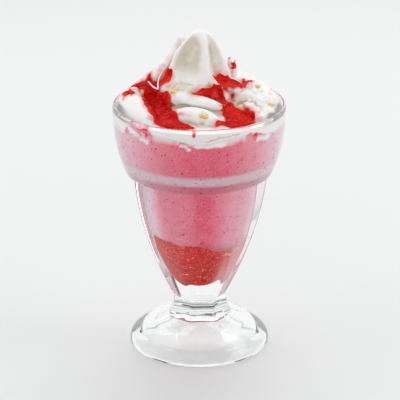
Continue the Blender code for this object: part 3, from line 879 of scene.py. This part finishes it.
def blurred(mesh, vectors, rounds):
    """Each point's vector becomes the mean of itself and its neighbours', again and again."""
    edges = np.empty(len(mesh.edges) * 2, dtype=np.int64)
    mesh.edges.foreach_get("vertices", edges)
    first, second = edges.reshape(-1, 2).T
    count = 1.0 + np.bincount(edges, minlength=len(vectors))
    for _ in range(rounds):
        total = vectors.copy()
        np.add.at(total, first, vectors[second])
        np.add.at(total, second, vectors[first])
        vectors = total / count[:, None]
    return vectors


def bead_relief(points):
    """Height to add round each golden drop: a pit with a raised rim."""
    lift = np.zeros(len(points))
    for x, y, radius in BEADS:
        away = np.hypot((points[:, 0] - x) / PIT_STRETCH, points[:, 1] - y) / radius
        rim, pit = (h * np.exp(-(((away - at) / width) ** 2)) for h, at, width in (PIT_RIM, PIT))
        lift += rim - pit
    return lift * (points[:, 2] > PIT_ABOVE)


def peak_flute_shade(points):
    """Painted shade in the peak's flutes, from 0 to 1: deepest in a flute's middle, fainter on the
    lit side.
    """
    x = points[:, 0] - PEAK_CENTRE[0]
    y = (points[:, 1] - PEAK_CENTRE[1]) / PEAK_FLATNESS
    height = points[:, 2]
    near = smoothstep(*FLUTE_NEAR, np.hypot(x, y) / peak_radius(height))
    azimuth = np.arctan2(x, -y)
    deep = smoothstep(*FLUTE_SHADE, flute_across(azimuth, height))
    start, end = np.radians(LIT_AZIMUTHS)
    lit = np.where((azimuth > start) & (azimuth < end), LIT_FLUTE, 1.0)
    return deep * near * lit * smoothstep(*FLUTE_SHADE_HEIGHTS, height)


def soft_marks(marks, points):
    """Round marks that fade out from their middles."""
    cover = np.zeros(len(points))
    for x, y, z, radius, strength in marks:
        away = np.linalg.norm(points - (x, y, z), axis=1) / radius
        cover = np.maximum(cover, strength * smoothstep(*MARK_FADE, away))
    return cover


def paint_cream(mesh):
    """Store what the cream's material reads, one value a point.

    One value is painted shade for the hollows and flutes, stain and poured are for sauce from
    above, pink and red for the milkshake and sauce on the glass, and one is painted grey shade
    inside the rim.
    """
    points, normals = positions(mesh), normals_of(mesh)
    x, y, z = points.T
    # Painted shade: beige in hollows found by blurring, in the peak's flutes and under the shade
    # marks.
    broad = blurred(mesh, points, HOLLOW_ROUNDS)
    depth = smoothstep(*HOLLOW_DEPTHS, ((broad - points) * normals).sum(1))
    painted_shade = np.maximum(depth, peak_flute_shade(points))
    point_colour(mesh, "painted_shade", np.maximum(painted_shade, soft_marks(SHADE_MARKS, points)))
    reach = drizzle_reach(x, y)
    above = smoothstep(*STAIN_HEIGHTS, z)
    stain = smoothstep(*STAIN_REACH, reach + STAIN_WANDER * fractal(points, *STAIN_BREAKS))
    stain = stain * above * smoothstep(*STAIN_FACING, normals[:, 2])
    point_colour(mesh, "stain", np.maximum(stain, soft_marks(STAIN_MARKS, points)))
    poured = smoothstep(*POURED_REACH, reach) * above * smoothstep(*POURED_HEIGHTS, z)
    point_colour(mesh, "poured", poured)
    white, red = cream_cover(points)
    past_wall = np.hypot(x, y) - cavity_radius(z)
    in_glass = smoothstep(*AT_WALL, past_wall) * smoothstep(*BELOW_RIM, z)
    point_colour(mesh, "pink", (1 - white) * in_glass)
    point_colour(mesh, "red", red * in_glass)
    # Painted grey shade on the cream just inside the rim.
    painted_rim_shade = smoothstep(*RIM_SHADE_AT_WALL, past_wall) * smoothstep(*RIM_SHADE_BOTTOM, z)
    painted_rim_shade = painted_rim_shade * smoothstep(*RIM_SHADE_TOP, z)
    azimuth, _ = wall_places(points)
    point_colour(mesh, "painted_rim_shade", painted_rim_shade * round_the_wall(RIM_SHADE, azimuth))


def make_cream():
    shapes = [make_peak(), turned("mound", MOUND, FILL_STEPS)]
    shapes += [stroke_object(name, points) for name, points in STROKES.items()]
    cream = joined("whipped_cream_swirls", shapes)
    melted(cream, CREAM_VOXEL, CREAM_SOFTENING)
    crumpled(cream.data)
    fit_to_room(cream.data)
    paint_cream(cream.data)
    cream.data.shade_smooth()
    return cream


def make_threads():
    """Thin threads of cream that cross the poured sauce."""
    threads = [
        stroke_object("thread", [(*place, THREAD_RADIUS) for place in path]) for path in THREADS
    ]
    whole = joined("cream_threads", threads)
    whole.data.shade_smooth()
    for name in ("painted_shade", "stain", "poured", "pink", "red", "painted_rim_shade"):
        point_colour(whole.data, name, np.zeros(len(whole.data.vertices)))
    return whole


def make_drizzle(surface):
    """The thick sauce: a lumpy sheet laid on the cream wherever the pour reaches."""
    count = int(RIM_RADIUS / DRIZZLE_GRID)
    steps = np.arange(-count, count + 1) * DRIZZLE_GRID
    grid_x, grid_y = np.meshgrid(steps, steps, indexing="ij")
    reach = drizzle_reach(grid_x, grid_y)
    inside = (reach > 0) & (np.hypot(grid_x, grid_y) < RIM_RADIUS - RIM_WALL - POUR_ROOM)
    bm = bmesh.new()
    nodes = {}
    for i, j in np.argwhere(inside):
        x, y = steps[i], steps[j]
        point, normal = surface(x, y)
        (lump,) = fractal([(x, y, POUR_LUMP_SLICE)], *DRIZZLE_LUMPS)
        share = min(1.0, POUR_EDGE_SHARE + POUR_EDGE_SLOPE * reach[i, j])
        lift = POUR_THICKNESS * share + POUR_LUMP * lump
        nodes[i, j] = bm.verts.new(point + normal * lift * MM)
    for (i, j), corner in nodes.items():
        others = [nodes.get(k) for k in ((i + 1, j), (i + 1, j + 1), (i, j + 1))]
        if None not in others:
            bm.faces.new([corner] + others)
    bmesh.ops.delete(bm, geom=[v for v in bm.verts if not v.link_faces], context="VERTS")
    for _ in range(POUR_ROUNDS):
        axes = {f"use_axis_{axis}": True for axis in "xyz"}
        bmesh.ops.smooth_vert(bm, verts=bm.verts, factor=SMOOTHING, **axes)
    obj = object_from("poured_sauce", bm)
    shell = obj.modifiers.new("thickness", "SOLIDIFY")
    shell.thickness = POUR_DEPTH * POUR_THICKNESS * MM
    shell.offset = -1
    applied(obj)
    melted(obj, DRIZZLE_VOXEL, DRIZZLE_SOFTENING)
    x, y, _ = positions(obj.data).T
    point_colour(obj.data, "thin", smoothstep(*THIN_REACH, drizzle_reach(x, y)))
    obj.data.shade_smooth()
    return obj


def make_beads(surface):
    """Small golden drops, wider than they are tall, each half sunk in the cream."""
    bm = bmesh.new()
    for x, y, radius in BEADS:
        place = Matrix.Translation(surface(x, y)[0] + Vector((0, 0, BEAD_LIFT)) * MM)
        add_ball(bm, BEAD_SEGMENTS, radius, place @ Matrix.Diagonal(BEAD_SHAPE))
    drops = object_from("golden_drops", bm)
    drops.data.shade_smooth()
    return drops


# ---- materials


PINK = (0.85, 0.15, 0.238)
DEEP_PINK = (0.82, 0.108, 0.185)
# PALE_PINK and MILK_WHITE also carry the light painted on the milkshake and bottom sauce.
PALE_PINK = (0.83, 0.61, 0.69)
MILK_WHITE = (0.90, 0.82, 0.84)
BERRY_SPECK = (0.50, 0.04, 0.08)
CREAM_WHITE = (0.88, 0.87, 0.86)
# Painted shade for the cream's hollows and flutes.
CREAM_SHADE = (0.63, 0.565, 0.455)
# Painted grey shade inside the rim.
RIM_SHADE_GREY = (0.36, 0.33, 0.33)
CREAM_STAIN = (0.80, 0.25, 0.22)
SAUCE_RED = (0.84, 0.016, 0.014)
SAUCE_DARK = (0.44, 0.006, 0.006)
SAUCE_BRIGHT = (0.95, 0.23, 0.165)
SAUCE_GLINT = (1.0, 0.62, 0.47)
# Painted light on the bottom sauce.
SAUCE_PALE = (0.84, 0.44, 0.45)
POUR_RED = (0.64, 0.007, 0.006)
POUR_DARK = (0.38, 0.003, 0.003)
POUR_THIN = (0.80, 0.06, 0.04)
SEED = (0.04, 0.006, 0.005)
GOLD = (0.72, 0.42, 0.05)
GOLD_LIGHT = (0.92, 0.78, 0.42)
GLASS_SHADOW = (0.85, 0.855, 0.855)
FLOOR_NEAR = (0.738, 0.765, 0.762)
FLOOR_FAR = (0.83, 0.835, 0.835)

# What is the same all over each material's surface.
FINISHES = {
    "clear_glass": {
        "Base Color": (0.985, 0.99, 0.99), "Roughness": 0.0, "IOR": 1.42,
        "Transmission Weight": 1.0,
    },
    "pink_milkshake": {
        "Roughness": 0.6, "Specular IOR Level": 0.05, "Subsurface Weight": 0.15,
        "Subsurface Radius": (1.0, 0.45, 0.4), "Subsurface Scale": 0.8 * MM,
    },
    "bottom_sauce": {"Roughness": 0.6, "Specular IOR Level": 0.05},
    "whipped_cream": {
        "Roughness": 0.5, "Specular IOR Level": 0.3, "Subsurface Weight": 0.3,
        "Subsurface Radius": (1.0, 0.8, 0.6), "Subsurface Scale": 1.5 * MM,
    },
    "poured_sauce": {"Roughness": 0.18, "Specular IOR Level": 0.02},
    "golden_drops": {"Roughness": 0.15},
    "pale_floor": {"Roughness": 0.6},
}

# Cloudy layers as (size, detail, noise where they start, noise where they are full), and the
# share of what is below that they then cover, where it isn't all of it.
MILK_MOTTLE = (7, 3, 0.38, 0.66)
MILK_WANDER = (5, 3, 0.2, 0.8)
MILK_WANDER_RANGE = (-0.6, 0.5)
MILK_BERRY = (0.9, 2, 0.52, 0.72, 0.23)
MILK_FLECKS = (0.8, 2, 0.46, 0.3, 0.36)
SAUCE_MOTTLE = (2.2, 3, 0.35, 0.65)
SAUCE_FLECKS = (0.5, 2, 0.54, 0.68)
SAUCE_FLECK_SHARE = 0.6
SHADE_CLOUDS = (6, 3, 0.0, 0.42)
STAIN_CLOUDS = (3, 3, 0.2, 0.6)
RIM_SHADE_CLOUDS = (5, 3, 0.0, 0.5)
PINK_CLOUDS = (3, 3, 0.35, 0.65)
POUR_MOTTLE = (6, 3, 0.38, 0.62)
# Painted highlights on the poured sauce, in its thin colour.
POUR_HIGHLIGHT_FLECKS = (1.1, 2, 0.52, 0.7, 0.7)
GOLD_CLOUDS = (1.2, 3, 0.4, 0.65)

# Specks as (spacing, radius, share of the cells that have one).
SPECK_CORE = 0.6
SMALL_BERRY_SPECKS = (1.9, 0.5, 0.3)
LARGE_BERRY_SPECKS = (5.0, 0.8, 0.3)
BRIGHT_GRAINS = (1.1, 0.36, 0.4)
DARK_GRAINS = (1.6, 0.42, 0.35)
GLINTS = (1.4, 0.44, 0.26)
SEEDS = (2.4, 0.55, 0.35)

# Fine relief as (size, depth).
CREAM_RELIEF = (1.6, 0.12)
POUR_RELIEF = (2.6, 0.2)


def feed(node, inputs):
    """Set inputs to numbers or colours, or link them to other nodes' outputs."""
    for key, value in inputs.items():
        socket = node.inputs[key]
        if isinstance(value, bpy.types.NodeSocket):
            node.id_data.links.new(value, socket)
        elif socket.type == "RGBA":
            socket.default_value = (*value, 1)
        else:
            socket.default_value = value


def add_node(tree, kind, inputs=None, **settings):
    node = tree.nodes.new(kind)
    for key, value in settings.items():
        setattr(node, key, value)
    feed(node, inputs or {})
    return node


def attribute(tree, name):
    return add_node(tree, "ShaderNodeAttribute", attribute_name=name).outputs["Fac"]


def coordinates(tree, kind="Object"):
    return add_node(tree, "ShaderNodeTexCoord").outputs[kind]


def mixed(tree, factor, first, second):
    inputs = {0: factor, 6: first, 7: second}
    return add_node(tree, "ShaderNodeMix", inputs, data_type="RGBA").outputs[2]


def layered(tree, colour, layers):
    """A colour with (cover, colour) layers laid over it, one after another."""
    for cover, layer in layers:
        colour = mixed(tree, cover, colour, layer)
    return colour


def ramp(tree, value, low, high, top=1.0):
    """0 at low, rising evenly to top at high. Low may be the larger number."""
    inputs = {"Value": value, "From Min": low, "From Max": high, "To Max": top}
    return add_node(tree, "ShaderNodeMapRange", inputs).outputs["Result"]


def calculated(tree, operation, first, second):
    inputs = {0: first, 1: second}
    return add_node(tree, "ShaderNodeMath", inputs, operation=operation).outputs[0]


def product(tree, first, second):
    return calculated(tree, "MULTIPLY", first, second)


def noise_value(tree, size, detail=3):
    """Noise with features about size millimetres across."""
    inputs = {"Vector": coordinates(tree), "Scale": 1 / (size * MM), "Detail": detail}
    return add_node(tree, "ShaderNodeTexNoise", inputs).outputs["Fac"]


def clouds(tree, size, detail, low, high, top=1.0):
    return ramp(tree, noise_value(tree, size, detail), low, high, top)


def specks(tree, spacing, radius, share):
    """Round specks in a share of cells that are spacing apart, all in millimetres."""
    inputs = {"Vector": coordinates(tree), "Scale": 1 / (spacing * MM)}
    cells = add_node(tree, "ShaderNodeTexVoronoi", inputs)
    size = radius / spacing
    spot = ramp(tree, cells.outputs["Distance"], size, size * SPECK_CORE)
    chance = add_node(tree, "ShaderNodeSeparateColor", {0: cells.outputs["Color"]})
    chosen = calculated(tree, "LESS_THAN", chance.outputs[0], share)
    return product(tree, spot, chosen)


def new_material(name, colour=None, relief=None):
    """A material, finished as FINISHES says.

    Its colour comes from a function of its node tree, and its relief is (size, depth).
    """
    mat = bpy.data.materials.new(name)
    mat.use_nodes = True
    tree = mat.node_tree
    inputs = dict(FINISHES[name])
    if colour:
        inputs["Base Color"] = colour(tree)
    if relief:
        size, depth = relief
        bump = {"Strength": 1.0, "Distance": depth * MM, "Height": noise_value(tree, size)}
        inputs["Normal"] = add_node(tree, "ShaderNodeBump", bump).outputs["Normal"]
    feed(tree.nodes["Principled BSDF"], inputs)
    return mat


def glass_material():
    """Clear glass that lets light through to what it shades."""
    mat = new_material("clear_glass")
    tree = mat.node_tree
    shader = tree.nodes["Principled BSDF"]
    clear = add_node(tree, "ShaderNodeBsdfTransparent", {"Color": GLASS_SHADOW})
    path = add_node(tree, "ShaderNodeLightPath")
    inputs = {0: path.outputs["Is Shadow Ray"], 1: shader.outputs[0], 2: clear.outputs[0]}
    mix = add_node(tree, "ShaderNodeMixShader", inputs)
    feed(tree.nodes["Material Output"], {"Surface": mix.outputs[0]})
    return mat


def milkshake_colour(tree):
    """Mottled pink with painted pale zones of light, berry specks, and cream and sauce streaks on
    top.
    """
    wander = ramp(tree, clouds(tree, *MILK_WANDER), *MILK_WANDER_RANGE)
    painted_paleness = product(tree, attribute(tree, "painted_paleness"), wander)
    return layered(tree, PINK, (
        (clouds(tree, *MILK_MOTTLE), DEEP_PINK),
        (ramp(tree, painted_paleness, 0, 1), PALE_PINK),
        (ramp(tree, painted_paleness, 1, 2), MILK_WHITE),
        (clouds(tree, *MILK_BERRY), BERRY_SPECK),
        (clouds(tree, *MILK_FLECKS), PALE_PINK),
        (specks(tree, *SMALL_BERRY_SPECKS), BERRY_SPECK),
        (specks(tree, *LARGE_BERRY_SPECKS), BERRY_SPECK),
        (attribute(tree, "cream"), CREAM_WHITE),
        (attribute(tree, "red"), POUR_RED),
    ))


def bottom_sauce_colour(tree):
    """Grainy red with bright and dark grains, painted glints, and pale zones of painted light."""
    painted_paleness = attribute(tree, "painted_paleness")
    return layered(tree, SAUCE_RED, (
        (clouds(tree, *SAUCE_MOTTLE), SAUCE_DARK),
        (product(tree, clouds(tree, *SAUCE_FLECKS), SAUCE_FLECK_SHARE), SAUCE_BRIGHT),
        (specks(tree, *BRIGHT_GRAINS), SAUCE_BRIGHT),
        (specks(tree, *DARK_GRAINS), SAUCE_DARK),
        (specks(tree, *GLINTS), SAUCE_GLINT),
        (ramp(tree, painted_paleness, 0, 1), SAUCE_PALE),
        (ramp(tree, painted_paleness, 1, 2), MILK_WHITE),
    ))


def cream_colour(tree):
    """White with painted beige shade in its hollows and painted grey shade inside the rim,
    stained where it meets the sauce and the milkshake.
    """
    return layered(tree, CREAM_WHITE, (
        (product(tree, attribute(tree, "painted_shade"), clouds(tree, *SHADE_CLOUDS)), CREAM_SHADE),
        (product(tree, attribute(tree, "stain"), clouds(tree, *STAIN_CLOUDS)), CREAM_STAIN),
        (attribute(tree, "poured"), POUR_RED),
        (product(tree, attribute(tree, "painted_rim_shade"), clouds(tree, *RIM_SHADE_CLOUDS)), RIM_SHADE_GREY),
        (attribute(tree, "pink"), mixed(tree, clouds(tree, *PINK_CLOUDS), PALE_PINK, PINK)),
        (attribute(tree, "red"), POUR_RED),
    ))


def pour_colour(tree):
    """Deep red, lighter at its thin edges, with painted highlight flecks and berry seeds."""
    return layered(tree, POUR_RED, (
        (clouds(tree, *POUR_MOTTLE), POUR_DARK),
        (clouds(tree, *POUR_HIGHLIGHT_FLECKS), POUR_THIN),
        (attribute(tree, "thin"), POUR_THIN),
        (specks(tree, *SEEDS), SEED),
    ))


def gold_colour(tree):
    return mixed(tree, clouds(tree, *GOLD_CLOUDS), GOLD, GOLD_LIGHT)


# ---- the stage

# Lengths of the stage are in metres.
FLOOR_SIZE = 6.0
FLOOR_SHADING = (-0.08, 0.5)
SKY_FRONT = (0.45, 0.45, 0.45)
SKY_BACK = (0.95, 0.95, 0.95)
SKY_TURN = (-0.5, 0.5)
MIDDLE = (0, 0, 0.1)
# Each light's name, place, target, width and height, and watts.
LIGHTS = (
    ("left_softbox", (-0.9, -0.25, 0.55), MIDDLE, (1.1, 1.2), 3.1),
    ("right_softbox", (0.9, -0.1, 0.5), MIDDLE, (0.5, 0.8), 2.6),
    ("top_softbox", (0.1, 0.7, 1.3), (0, 0.2, 0), (1.0, 0.8), 4.5),
    ("front_softbox", (-0.35, -1.6, 0.9), MIDDLE, (1.4, 1.0), 4.3),
    ("low_fill", (0, -1.3, 0.1), MIDDLE, (1.2, 0.16), 1.0),
)


def along_y(tree, place, low, high):
    """0 to 1 from a low to a high Y of a place."""
    parts = add_node(tree, "ShaderNodeSeparateXYZ", {0: place})
    return ramp(tree, parts.outputs["Y"], low, high)


def floor_colour(tree):
    """Grey paper with painted shade, a little darker towards the shown side."""
    return mixed(tree, along_y(tree, coordinates(tree), *FLOOR_SHADING), FLOOR_NEAR, FLOOR_FAR)


def add_light(name, place, target, size, watts):
    light = bpy.data.lights.new(name, "AREA")
    light.shape = "RECTANGLE"
    light.size, light.size_y = size
    light.energy = watts
    obj = new_object(name, light)
    obj.location = place
    obj.rotation_euler = (Vector(target) - Vector(place)).to_track_quat("-Z", "Y").to_euler()


def make_stage():
    bm = bmesh.new()
    bmesh.ops.create_grid(bm, x_segments=1, y_segments=1, size=FLOOR_SIZE)
    floor = object_from("floor", bm)
    floor.data.materials.append(new_material("pale_floor", floor_colour))
    world = bpy.data.worlds.new("studio")
    world.use_nodes = True
    tree = world.node_tree
    behind = along_y(tree, coordinates(tree, "Generated"), *SKY_TURN)
    feed(tree.nodes["Background"], {"Color": mixed(tree, behind, SKY_FRONT, SKY_BACK)})
    bpy.context.scene.world = world
    for row in LIGHTS:
        add_light(*row)


def make_camera():
    data = bpy.data.cameras.new("camera")
    data.lens = CAMERA_LENS
    data.shift_x = CAMERA_SHIFT_X
    camera = new_object("camera", data)
    camera.location = Vector((0, -CAMERA_DISTANCE, CAMERA_HEIGHT)) * MM
    camera.rotation_euler = (math.radians(90 - CAMERA_PITCH), 0, 0)
    bpy.context.scene.camera = camera


def dress(piece, mat, slot, *nodes):
    """Give a finished piece its material, and tie it to the part."""
    piece.data.materials.clear()
    piece.data.materials.append(mat)
    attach(piece, "root")
    if nodes:
        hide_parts(*nodes)


def main():
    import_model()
    bpy.context.scene.view_settings.view_transform = "Standard"
    sauce, milk = make_bottom_sauce(), make_milkshake()
    paint_filling(sauce, milk)
    cream = make_cream()
    surface = surface_finder(cream)
    drizzle, drops = make_drizzle(surface), make_beads(surface)
    threads = make_threads()
    dress(make_glass(), glass_material(), "clear_glass", "glass")
    red = new_material("bottom_sauce", bottom_sauce_colour)
    dress(sauce, red, "red_sauce", "strawberry_sauce")
    pink = new_material("pink_milkshake", milkshake_colour)
    dress(milk, pink, "pink_milkshake", "milkshake")
    white = new_material("whipped_cream", cream_colour, CREAM_RELIEF)
    dress(cream, white, "whipped_cream", "whipped_cream")
    dress(threads, white, "whipped_cream")
    dress(drizzle, new_material("poured_sauce", pour_colour, POUR_RELIEF), "red_sauce")
    dress(drops, new_material("golden_drops", gold_colour), "whipped_cream")
    make_stage()
    make_camera()


main()
